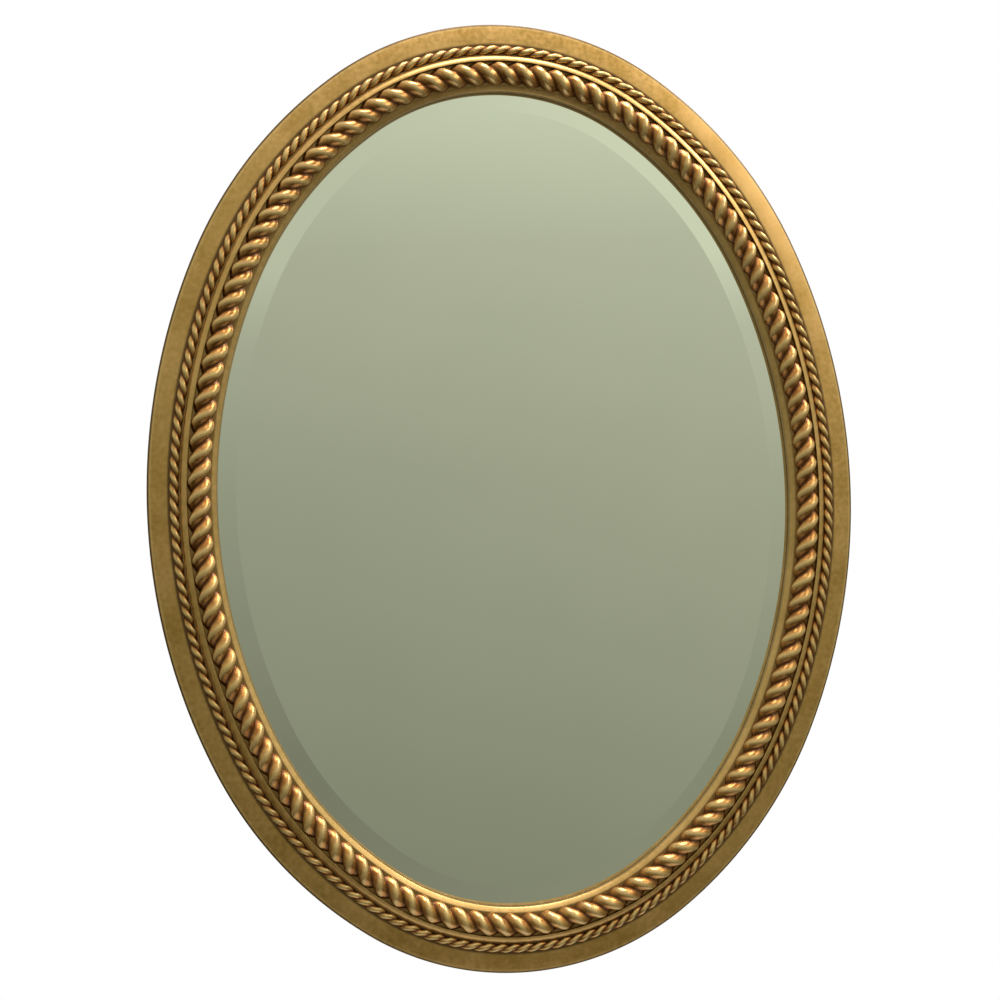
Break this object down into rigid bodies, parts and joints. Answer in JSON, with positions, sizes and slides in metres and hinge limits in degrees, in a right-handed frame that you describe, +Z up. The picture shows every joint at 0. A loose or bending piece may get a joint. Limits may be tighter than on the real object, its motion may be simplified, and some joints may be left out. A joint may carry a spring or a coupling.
{
  "type": "oval wall mirror",
  "caption": "Oval wall mirror with a gilded wooden frame, a fine and a large twisted rope moulding, a bevelled plate and swinging D-ring hangers behind.",
  "frame": {"origin": "on the wall plane, behind the middle of the oval", "axes": "+Z up, along the oval's height; -Y out of the wall towards the viewer, so +Y points into the wall; +X right seen from the front"},
  "size_m": [0.7078, 0.04, 0.94],
  "materials": {
    "gilded_wood": "water-gilt over bole and gesso, worn and toned",
    "gilded_composition": "gilt cast composition, rubbed through to bole on the crests",
    "bare_wood": "planed, unfinished",
    "plywood": "thin plywood, unfinished",
    "silvered_glass": "polished, bevelled edge",
    "brass": "dull",
    "plated_steel": "nickel plate",
    "felt": "dense felt"
  },
  "bodies": {
    "mirror": {"frame_top": "gilded_wood", "frame_upper_right": "gilded_wood", "frame_right": "gilded_wood", "frame_lower_right": "gilded_wood", "frame_bottom": "gilded_wood", "frame_lower_left": "gilded_wood", "frame_left": "gilded_wood", "frame_upper_left": "gilded_wood", "joint_tongues": "bare_wood", "large_rope_top_right": "gilded_composition", "large_rope_right_upper": "gilded_composition", "large_rope_right_lower": "gilded_composition", "large_rope_bottom_right": "gilded_composition", "large_rope_bottom_left": "gilded_composition", "large_rope_left_lower": "gilded_composition", "large_rope_left_upper": "gilded_composition", "large_rope_top_left": "gilded_composition", "fine_rope_top_right": "gilded_composition", "fine_rope_right_upper": "gilded_composition", "fine_rope_right_lower": "gilded_composition", "fine_rope_bottom_right": "gilded_composition", "fine_rope_bottom_left": "gilded_composition", "fine_rope_left_lower": "gilded_composition", "fine_rope_left_upper": "gilded_composition", "fine_rope_top_left": "gilded_composition", "mirror_plate": "silvered_glass", "glue_blocks": "bare_wood", "backboard": "plywood", "board_screws": "brass", "hanger_strap_left": "plated_steel", "hanger_strap_right": "plated_steel", "hanger_screws": "plated_steel", "wall_bumpers": "felt"},
    "left_ring": {"hanger_ring_left": "plated_steel"},
    "right_ring": {"hanger_ring_right": "plated_steel"}
  },
  "joints": [
    {"name": "left_ring_swing", "type": "hinge", "parent": "mirror", "child": "left_ring", "pos_m": [-0.31134, -0.00345, 0.15], "axis": [1, 0, 0], "range_deg": [0, 180]},
    {"name": "right_ring_swing", "type": "hinge", "parent": "mirror", "child": "right_ring", "pos_m": [0.31134, -0.00345, 0.15], "axis": [1, 0, 0], "range_deg": [0, 180]}
  ]
}
